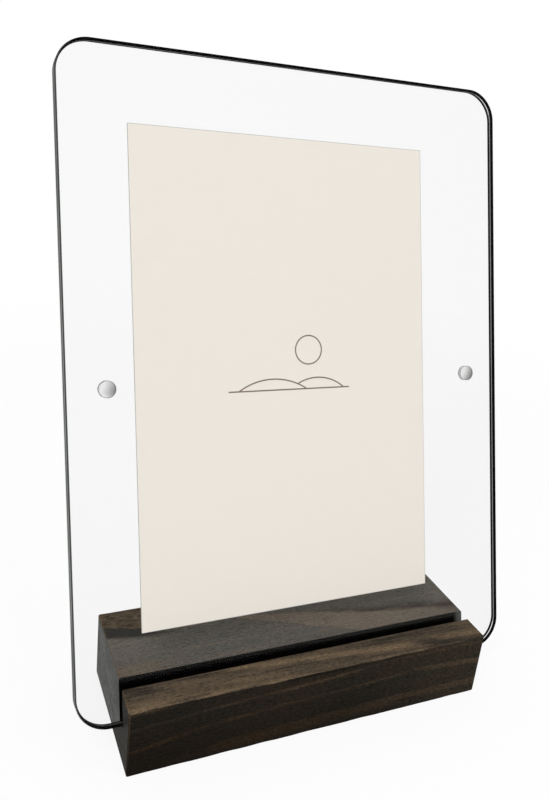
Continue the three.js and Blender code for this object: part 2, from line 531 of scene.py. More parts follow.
def arched_figure(tree, wood):
    """The figure on the front: three pale bands that rise to the right and bow over, and a dark line."""
    SWAY = 1.2
    FRAY = 1.8
    BANDS = (
        (1.9, -0.075, 0.7, 1.2, -70, -38, 0.45),
        (3.8, -0.022, 0.6, 1.1, -38, -13, 0.60),
        (3.4, -0.065, 0.6, 1.2, -13, 14, 0.85),
        (0.7, 0.022, 0.8, 1.4, 14, 70, 0.44),
        (4.7, -0.158, 0.8, 1.6, -70, -44, 0.72),
        (9.0, -0.050, 0.7, 1.2, -44, -22, 0.70),
        (9.3, -0.037, 0.5, 1.0, -22, 32, 0.55),
        (4.3, 0.085, 1.0, 2.2, 34, 70, 0.63),
        (14.5, -0.130, 0.7, 6.0, -50, -33, 0.55),
        (17.7, -0.028, 0.6, 6.0, -33, 28, 0.64),
        (16.6, 0.012, 0.7, 4.2, 28, 70, 0.50),
        (0.8, 0, 0.5, 0.9, -14, 32, -0.60),
    )

    across = swing(tree, wood["down"], wood["sway"], SWAY)
    across = swing(tree, across, wood["fibre"], FRAY)
    return figure_of(tree, wood["along"], across, BANDS)


def side_colour(tree, wood):
    """The upright faces: near black with stain and painted shade, warmer low at the left, with pale bands
    and a rubbed left corner.
    """
    COOL = (0.0240, 0.0212, 0.0155, 1)
    WARM = (0.0290, 0.0215, 0.0150, 1)
    PALE = (0.0650, 0.0445, 0.0275, 1)
    GOLD = (0.0640, 0.0390, 0.0185, 1)
    DARK = (0.0100, 0.0075, 0.0055, 1)
    WARM_DOWN = (6, 14)
    WARM_ALONG = (25, -25)
    CLOUD_CONTRAST = (0.35, 0.65)
    BAND_PATCHES = (0.2, 0.55)
    CORNER_DOWN = (2.0, 0.3)
    CORNER_ALONG = (-44, -60)

    low_left = times(tree, ease(tree, wood["down"], *WARM_DOWN), ease(tree, wood["along"], *WARM_ALONG))
    warm = calc(tree, "MAXIMUM", ease(tree, wood["cloud"], *CLOUD_CONTRAST), low_left)
    colour = blend(tree, warm, COOL, WARM)
    figure = arched_figure(tree, wood)
    patches = ease(tree, stretched_noise(tree, wood["mm"], (0.06, 0.2, 0.2), 3), *BAND_PATCHES)
    bands = times(tree, ease(tree, figure, 0, 1), patches)
    colour = blend(tree, bands, colour, blend(tree, low_left, PALE, GOLD))
    colour = blend(tree, ease(tree, figure, 0, -1), colour, DARK)
    corner = times(tree, ease(tree, wood["down"], *CORNER_DOWN), ease(tree, wood["along"], *CORNER_ALONG))
    return blend(tree, times(tree, corner, RUBBED_SHARE), colour, WORN_TAN)


def end_colour(tree, wood):
    """The mottled end grain, dark, with the panes' painted grey reflection where it is seen through them.
    """
    PAINTED_VEIL_GREY = (0.082, 0.085, 0.080, 1)
    PAINTED_VEIL_PALE = (0.136, 0.139, 0.130, 1)
    DARK = (0.0148, 0.0147, 0.0121, 1)
    DIM = (0.0204, 0.0200, 0.0167, 1)
    MOTTLE_CONTRAST = (0.38, 0.68)
    PAINTED_VEIL_SHARE = 0.9

    mottle = stretched_noise(tree, wood["mm"], (0.2, 0.16, 0.3), 4, 0.65)
    mottle = ease(tree, mottle, *MOTTLE_CONTRAST)
    bare = blend(tree, mottle, DARK, DIM)
    with_painted_veil = blend(tree, mottle, PAINTED_VEIL_GREY, PAINTED_VEIL_PALE)
    return blend(tree, times(tree, wood["through_panes"], PAINTED_VEIL_SHARE), bare, with_painted_veil)


def stain_shade(tree, wood):
    """How flecks, pores, dark streaks and the front's uneven stain with painted shade lighten or darken the
    wood.
    """
    FLECK_GAIN = 1.6
    FLECK_LESS_BEHIND = 0.2
    FLECK_GAIN_ON_FRONT = 2.2
    SPECKLE_GAIN = 1.4
    LOW_DOWN = (2, 22)
    LOW_ALONG = (55, 5)
    LOW_SHARE = 0.4
    STAIN_AND_SHADE_SHARE = 0.33
    STAIN_AND_SHADE_ALONG = (58, 2)
    STAIN_AND_SHADE_MORE = 0.22
    STAIN_AND_SHADE_MORE_ALONG = (0, -60)
    PORE_SHARE = 0.45
    STREAK_CONTRAST = (0.62, 0.70)
    STREAK_SHARE = 0.35

    gain = calc(tree, "MULTIPLY_ADD", wood["behind_slot"], -FLECK_LESS_BEHIND, FLECK_GAIN)
    gain = calc(tree, "MAXIMUM", gain, times(tree, wood["on_front"], FLECK_GAIN_ON_FRONT))
    shade = swing(tree, 1, wood["fleck"], gain)
    speckle = stretched_noise(tree, wood["mm"], (1.8, 2.6, 2.6), 2, 0.7)
    shade = swing(tree, shade, speckle, SPECKLE_GAIN)
    # The front is made darker towards its bottom, except at its right.
    low = times(tree, ease(tree, wood["down"], *LOW_DOWN), ease(tree, wood["along"], *LOW_ALONG))
    low = times(tree, low, wood["on_front"])
    # The front's uneven stain, heaviest at the left, together with painted shade.
    stain_and_shade = ease(tree, wood["along"], *STAIN_AND_SHADE_MORE_ALONG)
    stain_and_shade = calc(tree, "MULTIPLY_ADD", stain_and_shade, STAIN_AND_SHADE_MORE, STAIN_AND_SHADE_SHARE)
    stain_and_shade = times(tree, stain_and_shade, ease(tree, wood["along"], *STAIN_AND_SHADE_ALONG), wood["on_front"])
    streaks = ease(tree, stretched_noise(tree, wood["mm"], (0.07, 0.9, 0.9), 2), *STREAK_CONTRAST)
    streaks = times(tree, streaks, less(tree, wood["behind_slot"]))
    return times(
        tree,
        shade,
        less(tree, low, LOW_SHARE),
        less(tree, stain_and_shade),
        less(tree, wood["pores"], PORE_SHARE),
        less(tree, streaks, STREAK_SHARE),
    )


def slot_share(tree, wood):
    """1 on the slot's walls and 0 on the rest of the block."""
    EDGE = 0.05 * MM

    past_front = calc(tree, "GREATER_THAN", wood["across"], front_cheek - EDGE)
    past_back = calc(tree, "GREATER_THAN", wood["across"], back_cheek + EDGE)
    above_floor = calc(tree, "GREATER_THAN", wood["up_slot"], slot_floor - EDGE)
    return times(tree, calc(tree, "SUBTRACT", past_front, past_back), above_floor)


def slot_painted_light_and_shade(tree, wood):
    """The slot's walls in painted shade and light: a black shadow, a faintly lit lip lighter to the right,
    a lit grey right end.
    """
    PAINTED_SHADOW_BLACK = (0.0008, 0.0008, 0.0008, 1)
    # The lip's colour is painted faint light under the slot's mouth.
    LIP = (0.0055, 0.0055, 0.005, 1)
    PAINTED_LIP_LIGHT = (0.0125, 0.0120, 0.0105, 1)
    PAINTED_END_LIGHT = (0.082, 0.085, 0.080, 1)
    LIP_UP = (-1.3, -1.15)
    LIT_ALONG = (-50, 50)
    END_ALONG = (57.8, 60.6)

    lip = blend(tree, ease(tree, wood["along"], *LIT_ALONG), LIP, PAINTED_LIP_LIGHT)
    colour = blend(tree, ease(tree, wood["up"], *LIP_UP), PAINTED_SHADOW_BLACK, lip)
    return blend(tree, ease(tree, wood["along"], *END_ALONG), colour, PAINTED_END_LIGHT)


def dark_stained_wood():
    END_SHARE = 0.9
    WORN_ALONG = (60, 30)
    PORE_DEPTH = 0.5
    GRAIN_STRENGTH = 0.3
    GRAIN_DEPTH = 0.08 * MM
    ROUGHNESS = 0.4
    ROUGHNESS_MORE = 0.3

    material, tree, shader = finish_of("dark_stained_wood")
    wood = wood_places(tree)
    top = blend(tree, wood["behind_slot"], front_top_colour(tree, wood), rear_top_colour(tree, wood))
    colour = blend(tree, wood["on_side"], top, side_colour(tree, wood))
    colour = blend(tree, times(tree, wood["on_end"], END_SHARE), colour, end_colour(tree, wood))
    worn = add(tree, "ShaderNodeAttribute", attribute_name="worn").outputs["Fac"]
    rubbed = times(tree, worn, ease(tree, wood["along"], *WORN_ALONG), RUBBED_SHARE)
    colour = blend(tree, rubbed, colour, WORN_TAN)
    colour = scaled(tree, colour, stain_shade(tree, wood))
    # The slot's walls take painted shadow and light in place of the wood.
    in_slot = slot_share(tree, wood)
    colour = blend(tree, in_slot, colour, slot_painted_light_and_shade(tree, wood))

    relief = calc(tree, "MULTIPLY_ADD", wood["pores"], -PORE_DEPTH, wood["fleck"])
    strength = times(tree, less(tree, in_slot), GRAIN_STRENGTH)
    bump = add(tree, "ShaderNodeBump", {"Height": relief, "Strength": strength, "Distance": GRAIN_DEPTH})
    roughness = calc(tree, "MULTIPLY_ADD", wood["fibre"], ROUGHNESS_MORE, ROUGHNESS)
    feed(tree, shader, {"Base Color": colour, "Normal": bump.outputs["Normal"]})
    feed(tree, shader, {"Roughness": roughness, "Specular IOR Level": 0.02})
    return material


block = bpy.data.objects.new("block_blank", sawn_block())
bpy.context.scene.collection.objects.link(block)
rounding = block.modifiers.new("rounding", "BEVEL")
rounding.limit_method = "WEIGHT"
rounding.width = BLOCK_EDGE_ROUND
rounding.segments = BLOCK_ROUND_STEPS
block_mesh = applied(block)
sand_edges(block_mesh)
block_mesh.materials.clear()
block_mesh.materials.append(dark_stained_wood())
show("wooden_block", block_mesh, "base", "stained_wood", "base_block")

# Acrylic panes. Two alike sheets of clear cast acrylic, laser-cut with round corners and polished
# edges, each with two flat pockets milled in its inner face that its magnets are glued into.
PANE_CORNER = 10 * MM
PANE_OUTER_ROUND = 0.38 * MM
PANE_INNER_ROUND = 0.62 * MM
PANE_ROUND_STEPS = 3
CORNER_STEPS = 28
POCKET_STEPS = 56
GLUE_LINE = 0.03 * MM


def middle_of(node, direction):
    return sum(span(node, direction)) / 2


def width_of(node, direction):
    low, high = span(node, direction)
    return high - low


pane_x = span("rear_pane", to_right)
pane_along = span("rear_pane", up_slot)
magnet_x = [middle_of(f"rear_{hand}_magnet", to_right) for hand in ("left", "right")]
magnet_along = middle_of("rear_left_magnet", up_slot)
magnet_radius = width_of("front_left_magnet", to_right) / 2
magnet_thickness = width_of("front_left_magnet", square)
print_depth = middle_of("photo_print", square)


def leaning(x, across, along):
    """A point from its width, its depth square to the panes and its height along them."""
    return Vector((x, 0, 0)) + square * across + up_slot * along


def round_rectangle(low, high, radius, steps):
    """The outline of a rectangle with round corners, as (x, along)."""
    middles = (
        (high[0] - radius, low[1] + radius),
        (high[0] - radius, high[1] - radius),
        (low[0] + radius, high[1] - radius),
        (low[0] + radius, low[1] + radius),
    )
    points = []
    for quarter, (x, along) in enumerate(middles):
        for step in range(steps + 1):
            angle = math.pi / 2 * (quarter - 1 + step / steps)
            points.append((x + radius * math.cos(angle), along + radius * math.sin(angle)))
    return points


def circle(middle, radius, steps):
    points = []
    for step in range(steps):
        angle = 2 * math.pi * step / steps
        points.append((middle[0] + radius * math.cos(angle), middle[1] + radius * math.sin(angle)))
    return points


def edge_levels(front, back, front_round, back_round, steps):
    """How far in from the outline, and how deep, each line along a rounded edge lies."""
    turns = [math.pi / 2 * step / steps for step in range(steps + 1)]
    levels = [(front_round * (1 - math.sin(a)), front + front_round * (1 - math.cos(a))) for a in turns]
    turns.reverse()
    return levels + [(back_round * (1 - math.sin(a)), back - back_round * (1 - math.cos(a))) for a in turns]


def ring_of(bm, loop, depth):
    """A closed loop of (x, along) as vertices at one depth."""
    return [bm.verts.new(leaning(x, depth, along)) for x, along in loop]


def wall_between(bm, first, second, finish):
    """A smooth wall from one ring to the next."""
    for i in range(len(first)):
        j = (i + 1) % len(first)
        wall = bm.faces.new((first[i], first[j], second[j], second[i]))
        wall.material_index = finish
        wall.smooth = True


def filled(bm, rings):
    """A flat face between rings that lie in one plane."""
    edges = [bm.edges.get(pair) for ring in rings for pair in zip(ring, ring[1:] + ring[:1])]
    bmesh.ops.triangle_fill(bm, use_beauty=True, edges=edges)


def leaning_sheet(name, levels, outline, finishes, pockets=()):
    """A sheet in the panes' plane, from the loop that its outline has at each inset. The finishes are those
    of its front rim, wall and back rim. A pocket has a loop, its floor's depth, its face and its finish."""
    bm = bmesh.new()
    rings = [ring_of(bm, outline(inset), depth) for inset, depth in levels]
    middle = len(levels) // 2
    for step, (first, second) in enumerate(zip(rings, rings[1:]), 1):
        wall_between(bm, first, second, finishes[(step >= middle) + (step > middle)])
    faces = {0: [rings[0]], -1: [rings[-1]]}
    for loop, floor_depth, face, finish in pockets:
        mouth = ring_of(bm, loop, levels[face][1])
        floor = ring_of(bm, loop, floor_depth)
        wall_between(bm, mouth, floor, finish)
        bm.faces.new(floor)
        faces[face].append(mouth)
    for edge_rings in faces.values():
        filled(bm, edge_rings)
    bmesh.ops.recalc_face_normals(bm, faces=bm.faces)
    mesh = bpy.data.meshes.new(name)
    bm.to_mesh(mesh)
    bm.free()
    return mesh


def clear_acrylic():
    """Clear sheet that lets light through to what is behind it, with a strip of painted shade where the
    front pane's right edge is seen through its face."""
    CLEAR = (0.972, 0.972, 0.972, 1)
    EDGE_SHADE = (0.16, 0.16, 0.16, 1)
    SHADE_WIDTH = 1.1 * MM
    LIT_THROUGH = (0.975, 0.978, 0.976, 1)
    FAINT_MIRROR = (0.05, 0.05, 0.05, 1)
    ACRYLIC_IOR = 1.49
    SMUDGE_SCALE = 45
    SMUDGE_CONTRAST = (0.55, 2.6)

    material, tree, shader = finish_of("clear_acrylic")
    place = place_on(tree)
    smudges = ease(tree, even_noise(tree, place, SMUDGE_SCALE, 3), *SMUDGE_CONTRAST)
    aside = reach_along(tree, place, to_right)
    at_right = calc(tree, "GREATER_THAN", aside, pane_x[1] - SHADE_WIDTH)
    in_front = calc(tree, "LESS_THAN", reach_along(tree, place, square), print_depth)
    shaded = times(tree, at_right, in_front)
    feed(tree, shader, {"Base Color": blend(tree, shaded, CLEAR, EDGE_SHADE), "Roughness": smudges})
    feed(tree, shader, {"IOR": ACRYLIC_IOR, "Specular Tint": FAINT_MIRROR, "Transmission Weight": 1})
    path = add(tree, "ShaderNodeLightPath").outputs
    lights = calc(tree, "MAXIMUM", path["Is Shadow Ray"], path["Is Diffuse Ray"])
    through = add(tree, "ShaderNodeBsdfTransparent", {"Color": LIT_THROUGH})
    lay_over(tree, shader, lights, through)
    return material


def polished_rim():
    """The rounded outer edge, painted nearly black as its shade, with a painted grey highlight at the left,
    towards the lamp.
    """
    DARK = (0.0020, 0.0022, 0.0021, 1)
    SMOKE = (0.0060, 0.0066, 0.0062, 1)
    LIT_LEFT = (0.062, 0.065, 0.063, 1)
    LIT_WIDTH = 0.7 * PANE_CORNER
    STREAK_SCALE = 60
    STREAK_CONTRAST = (0.4, 0.7)

    material, tree, shader = finish_of("polished_rim")
    place = place_on(tree)
    streaks = ease(tree, even_noise(tree, place, STREAK_SCALE, 2), *STREAK_CONTRAST)
    colour = blend(tree, streaks, DARK, SMOKE)
    aside = reach_along(tree, place, to_right)
    at_left = ease(tree, aside, pane_x[0] + LIT_WIDTH, pane_x[0])
    colour = blend(tree, at_left, colour, LIT_LEFT)
    feed(tree, shader, {"Base Color": colour, "Roughness": 0.4, "Specular IOR Level": 0})
    return material


def cut_wall():
    """The flat of the cut edge in painted shade: grey from outside, darker on top, and black when seen
    through the sheet.
    """
    OUTSIDE = (0.36, 0.38, 0.36, 1)
    OUTSIDE_DARK = (0.21, 0.222, 0.21, 1)
    OUTSIDE_TOP = (0.12, 0.125, 0.12, 1)
    INSIDE = (0.0015, 0.0017, 0.0016, 1)
    STREAK_SCALE = 30
    STREAK_CONTRAST = (0.35, 0.65)
    TOP_FACING = (0.05, 0.6)

    material, tree, shader = finish_of("cut_wall")
    place = place_on(tree)
    streaks = ease(tree, even_noise(tree, place, STREAK_SCALE, 3), *STREAK_CONTRAST)
    outside = blend(tree, streaks, OUTSIDE, OUTSIDE_DARK)
    surface = add(tree, "ShaderNodeNewGeometry").outputs
    on_top = ease(tree, reach_along(tree, surface["Normal"], up_slot), *TOP_FACING)
    outside = blend(tree, on_top, outside, OUTSIDE_TOP)
    colour = blend(tree, surface["Backfacing"], outside, INSIDE)
    feed(tree, shader, {"Base Color": colour, "Roughness": 0.4, "Specular IOR Level": 0})
    return material


def glued_rim():
    """A pocket's wall. Through the sheet it shows the side of the disc as a painted reflection, with a
    painted highlight towards the pocket's floor, and from the open side a pale film of glue."""
    NICKEL_SIDE = (0.20, 0.20, 0.196, 1)
    NICKEL_DULL = (0.14, 0.14, 0.137, 1)
    NICKEL_LIT = (0.95, 0.95, 0.945, 1)
    GLUE_PALE = (0.80, 0.80, 0.79, 1)
    LIT_FROM = 0.25
    LIT_TO = 0.50
    FILM_SCALE = 900

    material, tree, shader = finish_of("glued_rim")
    place = place_on(tree)
    from_print = calc(tree, "SUBTRACT", reach_along(tree, place, square), print_depth)
    from_print = calc(tree, "ABSOLUTE", from_print)
    mouth = print_depth - span("front_pane", square)[1]
    lit_from = mouth + magnet_thickness * LIT_FROM
    lit_to = mouth + magnet_thickness * LIT_TO
    film = even_noise(tree, place, FILM_SCALE, 2)
    side = blend(tree, film, NICKEL_SIDE, NICKEL_DULL)
    side = blend(tree, ease(tree, from_print, lit_from, lit_to), side, NICKEL_LIT)
    through_sheet = add(tree, "ShaderNodeNewGeometry").outputs["Backfacing"]
    feed(tree, shader, {"Base Color": blend(tree, through_sheet, GLUE_PALE, side), "Roughness": 0.4})
    return material


def inner_rim():
    """The rounded inner edge in painted shade: frosted grey from outside, and black when seen through the
    sheet.
    """
    FROSTED = (0.13, 0.135, 0.13, 1)
    SMOKE = (0.07, 0.073, 0.07, 1)
    INSIDE = (0.0025, 0.0027, 0.0026, 1)
    FROST_SCALE = 35
    FROST_CONTRAST = (0.3, 0.7)

    material, tree, shader = finish_of("inner_rim")
    place = place_on(tree)
    frost = ease(tree, even_noise(tree, place, FROST_SCALE, 2), *FROST_CONTRAST)
    outside = blend(tree, frost, FROSTED, SMOKE)
    through_sheet = add(tree, "ShaderNodeNewGeometry").outputs["Backfacing"]
    colour = blend(tree, through_sheet, outside, INSIDE)
    feed(tree, shader, {"Base Color": colour, "Roughness": 0.5, "Specular IOR Level": 0.1})
    return material


def pane_outline(inset):
    low = (pane_x[0] + inset, pane_along[0] + inset)
    high = (pane_x[1] - inset, pane_along[1] - inset)
    return round_rectangle(low, high, PANE_CORNER - inset, CORNER_STEPS)


pane_finishes = (clear_acrylic(), polished_rim(), glued_rim(), inner_rim(), cut_wall())
OUTER_RIM, POCKET_WALL, INNER_RIM, EDGE_WALL = range(1, len(pane_finishes))
for side in ("rear", "front"):
    node = f"{side}_pane"
    rounds = [PANE_OUTER_ROUND, PANE_INNER_ROUND]
    rims = [OUTER_RIM, EDGE_WALL, INNER_RIM]
    if side == "rear":
        rounds.reverse()
        rims.reverse()
    levels = edge_levels(*span(node, square), *rounds, PANE_ROUND_STEPS)
    front_of_magnet, back_of_magnet = span(f"{side}_left_magnet", square)
    if side == "rear":
        floor_depth, inner_face = back_of_magnet + GLUE_LINE, 0
    else:
        floor_depth, inner_face = front_of_magnet - GLUE_LINE, -1
    pockets = []
    for x in magnet_x:
        loop = circle((x, magnet_along), magnet_radius + GLUE_LINE, POCKET_STEPS)
        pockets.append((loop, floor_depth, inner_face, POCKET_WALL))
    pane_mesh = leaning_sheet(f"{side}_sheet", levels, pane_outline, rims, pockets)
    for finish in pane_finishes:
        pane_mesh.materials.append(finish)
    show(f"{side}_acrylic", pane_mesh, f"{side}_panel", "clear_acrylic", node)

# Disc magnets. Nickel-plated neodymium discs, pressed and tumbled, so that their faces are a little
# crowned and their edges round. Each pane carries a pair, glued in level with its inner face.
MAGNET_EDGE_ROUND = 0.08 * MM
MAGNET_CROWN = 0.06 * MM
MAGNET_EDGE_STEPS = 3
MAGNET_STEPS = 64
CROWN_STEPS = 10


def magnet_profile():
    """Half of the disc's section as (radius, depth), from the middle of one face to the other."""
    flat = magnet_radius - MAGNET_EDGE_ROUND
    rim = magnet_thickness / 2 - MAGNET_CROWN
    points = []
    for step in range(CROWN_STEPS):
        radius = flat * step / CROWN_STEPS
        points.append((radius, -rim - MAGNET_CROWN * (1 - (radius / flat) ** 2)))
    for inset, depth in edge_levels(-rim, rim, MAGNET_EDGE_ROUND, MAGNET_EDGE_ROUND, MAGNET_EDGE_STEPS):
        points.append((magnet_radius - inset, depth))
    return points + [(radius, -depth) for radius, depth in reversed(points[:CROWN_STEPS])]


def turned_disc():
    """The profile turned round the disc's axis, which lies along y."""
    SEAM = 0.001 * MM

    bm = bmesh.new()
    profile = [bm.verts.new((radius, depth, 0)) for radius, depth in magnet_profile()]
    edges = [bm.edges.new(pair) for pair in zip(profile, profile[1:])]
    bmesh.ops.spin(
        bm, geom=profile + edges, axis=(0, 1, 0), cent=(0, 0, 0), steps=MAGNET_STEPS, angle=2 * math.pi
    )
    bmesh.ops.remove_doubles(bm, verts=bm.verts, dist=SEAM)
    bmesh.ops.recalc_face_normals(bm, faces=bm.faces)
    for face in bm.faces:
        face.smooth = True
    mesh = bpy.data.meshes.new("turned_disc")
    bm.to_mesh(mesh)
    bm.free()
    return mesh


def nickel_plate():
    """Bright plating, polished to a low dome whose peak is a little askew on the right discs."""
    BRIGHT = (0.97, 0.97, 0.965, 1)
    DULL = (0.88, 0.88, 0.875, 1)
    POLISHED_DOME = 0.4 * MM
    RIGHT_ASKEW = 1.4 * MM
    CLOUD_SCALE = 700
    ROUGHNESS = 0.12
    ROUGHNESS_MORE = 0.10

    material, tree, shader = finish_of("nickel_plate")
    place = place_on(tree)
    aside = reach_along(tree, place, to_right)
    peak = calc(tree, "MULTIPLY_ADD", calc(tree, "GREATER_THAN", aside, 0), RIGHT_ASKEW, magnet_x[1])
    aside = calc(tree, "SUBTRACT", calc(tree, "ABSOLUTE", aside), peak)
    along = calc(tree, "SUBTRACT", reach_along(tree, place, up_slot), magnet_along)
    from_peak = length_of(tree, add(tree, "ShaderNodeCombineXYZ", {"X": aside, "Y": along}).outputs[0])
    dome = less(tree, calc(tree, "POWER", calc(tree, "DIVIDE", from_peak, magnet_radius), 2))
    bump = add(tree, "ShaderNodeBump", {"Height": dome, "Strength": 1, "Distance": POLISHED_DOME})
    cloud = even_noise(tree, place, CLOUD_SCALE, 3)
    roughness = calc(tree, "MULTIPLY_ADD", cloud, ROUGHNESS_MORE, ROUGHNESS)
    feed(tree, shader, {"Base Color": blend(tree, cloud, BRIGHT, DULL), "Metallic": 1})
    feed(tree, shader, {"Roughness": roughness, "Normal": bump.outputs["Normal"]})
    return material


def pair_of_discs():
    """A node tree that sets two copies of the disc side by side, a spread apart."""
    tree = bpy.data.node_groups.new("pair_of_discs", "GeometryNodeTree")
    tree.interface.new_socket("Disc", in_out="INPUT", socket_type="NodeSocketGeometry")
    tree.interface.new_socket("Spread", in_out="INPUT", socket_type="NodeSocketFloat")
    tree.interface.new_socket("Plating", in_out="INPUT", socket_type="NodeSocketMaterial")
    tree.interface.new_socket("Pair", in_out="OUTPUT", socket_type="NodeSocketGeometry")
    given = add(tree, "NodeGroupInput").outputs
    half = calc(tree, "MULTIPLY", given["Spread"], -0.5)
    start = add(tree, "ShaderNodeCombineXYZ", {"X": half}).outputs[0]
    step = add(tree, "ShaderNodeCombineXYZ", {"X": given["Spread"]}).outputs[0]
    places = add(tree, "GeometryNodeMeshLine", {"Count": 2, "Start Location": start, "Offset": step})
    discs = {"Points": places.outputs["Mesh"], "Instance": given["Disc"]}
    copies = add(tree, "GeometryNodeInstanceOnPoints", discs).outputs["Instances"]
    real = add(tree, "GeometryNodeRealizeInstances", {"Geometry": copies}).outputs["Geometry"]
    plated = add(tree, "GeometryNodeSetMaterial", {"Geometry": real, "Material": given["Plating"]})
    add(tree, "NodeGroupOutput", {"Pair": plated.outputs["Geometry"]})
    return tree


plating = nickel_plate()
pairing = pair_of_discs()
sockets = {item.name: item.identifier for item in pairing.interface.items_tree}
for side in ("rear", "front"):
    blank = bpy.data.objects.new("disc_blank", turned_disc())
    bpy.context.scene.collection.objects.link(blank)
    repeat = blank.modifiers.new("pair", "NODES")
    repeat.node_group = pairing
    repeat[sockets["Spread"]] = magnet_x[1] - magnet_x[0]
    repeat[sockets["Plating"]] = plating
    pair_mesh = applied(blank)
    across = middle_of(f"{side}_left_magnet", square)
    seat = leaning(sum(magnet_x) / 2, across, magnet_along)
    lean = Matrix((to_right, square, up_slot)).transposed()
    pair_mesh.transform(Matrix.Translation(seat) @ lean.to_4x4())
    show(
        f"{side}_magnets",
        pair_mesh,
        f"{side}_panel",
        "nickel_plate",
        f"{side}_left_magnet",
        f"{side}_right_magnet",
    )

# Paper print. A sheet of matte photo paper, trimmed square and laid between the panes by hand. It
# carries a plain line drawing of hills under a sun, in brown ink on a cream ground.
PAPER_CORNER = 0.25 * MM
PAPER_EDGE_ROUND = 0.06 * MM
PAPER_CORNER_STEPS = 3
print_x = span("photo_print", to_right)
print_along = span("photo_print", up_slot)
print_middle = (sum(print_x) / 2, sum(print_along) / 2)


def paper_outline(inset):
    low = (print_x[0] + inset, print_along[0] + inset)
    high = (print_x[1] - inset, print_along[1] - inset)
    return round_rectangle(low, high, PAPER_CORNER, PAPER_CORNER_STEPS)


def map_in_mm(mesh):
    """A UV map that holds each corner's place on the sheet, in millimetres from its middle."""
    layer = mesh.uv_layers.new(name="sheet_mm")
    for loop in mesh.loops:
        point = mesh.vertices[loop.vertex_index].co
        right = (point.x - print_middle[0]) / MM
        layer.data[loop.index].uv = right, (up_slot.dot(point) - print_middle[1]) / MM


def ink_lines(tree, uv, right, up):
    """Where the drawing has ink: a sun, a far hill behind a near one, and the ground that they stand on.
    A ring has its middle and its radius, and the ground its height and half its length, all in mm."""
    SUN = (6.5, 8.0, 4.6)
    NEAR_HILL = (-6.0, -22.0, 21.0)
    FAR_HILL = (9.5, -15.5, 14.5)
    GROUND = (-4.5, 21.0)
    LINE = 0.22
    LINE_SOFT = 0.08
    END_SOFT = 0.1

    def from_ring(ring):
        away = add(tree, "ShaderNodeVectorMath", {0: uv, 1: (ring[0], ring[1], 0)}, operation="DISTANCE")
        return calc(tree, "SUBTRACT", away.outputs["Value"], ring[2])

    def drawn(distance):
        return ease(tree, calc(tree, "ABSOLUTE", distance), LINE + LINE_SOFT, LINE - LINE_SOFT)

    height = calc(tree, "SUBTRACT", up, GROUND[0])
    above_ground = ease(tree, height, 0, END_SOFT)
    outside_near = ease(tree, from_ring(NEAR_HILL), 0, END_SOFT)
    near_line = times(tree, drawn(from_ring(NEAR_HILL)), above_ground)
    far_line = times(tree, drawn(from_ring(FAR_HILL)), above_ground, outside_near)
    ground_end = calc(tree, "LESS_THAN", calc(tree, "ABSOLUTE", right), GROUND[1])
    ground_line = times(tree, drawn(height), ground_end)
    ink = drawn(from_ring(SUN))
    for line in (near_line, far_line, ground_line):
        ink = calc(tree, "MAXIMUM", ink, line)
    return ink


def printed_paper():
    CREAM = (0.800, 0.750, 0.685, 1)
    CREAM_SHADE = (0.780, 0.728, 0.660, 1)
    INK = (0.190, 0.150, 0.115, 1)
    CUT_GREY = (0.42, 0.41, 0.39, 1)
    CUT_WIDTH = 0.22
    MOTTLE_SCALE = 0.25
    FIBRE_SCALE = 5
    FIBRE_STRENGTH = 0.15
    FIBRE_DEPTH = 0.02 * MM

    material, tree, shader = finish_of("printed_paper")
    uv = add(tree, "ShaderNodeUVMap", uv_map="sheet_mm").outputs["UV"]
    split = add(tree, "ShaderNodeSeparateXYZ", {0: uv}).outputs
    right, up = split["X"], split["Y"]
    facing = add(tree, "ShaderNodeNewGeometry").outputs["True Normal"]
    on_front = calc(tree, "LESS_THAN", reach_along(tree, facing, square), 0)
    ink = times(tree, ink_lines(tree, uv, right, up), on_front)
    colour = blend(tree, even_noise(tree, uv, MOTTLE_SCALE, 5), CREAM, CREAM_SHADE)
    colour = blend(tree, ink, colour, INK)
    half_width = (print_x[1] - print_x[0]) / 2 / MM
    half_height = (print_along[1] - print_along[0]) / 2 / MM
    to_side = calc(tree, "SUBTRACT", half_width, calc(tree, "ABSOLUTE", right))
    to_end = calc(tree, "SUBTRACT", half_height, calc(tree, "ABSOLUTE", up))
    cut = ease(tree, calc(tree, "MINIMUM", to_side, to_end), CUT_WIDTH, CUT_WIDTH / 2)
    colour = blend(tree, cut, colour, CUT_GREY)
    relief = {"Height": even_noise(tree, uv, FIBRE_SCALE, 4), "Strength": FIBRE_STRENGTH}
    bump = add(tree, "ShaderNodeBump", relief | {"Distance": FIBRE_DEPTH})
    feed(tree, shader, {"Base Color": colour, "Normal": bump.outputs["Normal"]})
    feed(tree, shader, {"Roughness": 0.85, "Specular IOR Level": 0.2})
    return material


paper_depth = span("photo_print", square)
paper_levels = edge_levels(*paper_depth, PAPER_EDGE_ROUND, PAPER_EDGE_ROUND, PAPER_CORNER_STEPS)
paper_mesh = leaning_sheet("paper_sheet", paper_levels, paper_outline, (0, 0, 0))
map_in_mm(paper_mesh)
paper_mesh.materials.append(printed_paper())
show("paper_print", paper_mesh, "print", "print_paper", "photo_print")

# Studio. A plain white floor and background, a large soft lamp up to the left and a weaker one at the
# right. In front of the stand and to its right the room is dim, so the panes mirror little of it.
FLOOR_SIZE = 60
FLOOR_WHITE = (0.95, 0.95, 0.95, 1)
FLOOR_SHADOW = 0.13
SHADOW_NEAR = 0.25
SHADOW_FAR = 0.6
FILL_LEVEL = 0.6
ROOM_BRIGHT = 0.95
ROOM_DIM = 0.24
LAMP_AIM = (0, 0, 0.08)
KEY_PLACE = (-0.9, -1.1, 1.8)
KEY_SIZE = 1.2
KEY_POWER = 22.4
SIDE_PLACE = (1.2, -1.2, 0.9)
SIDE_SIZE = 0.9
SIDE_POWER = 6


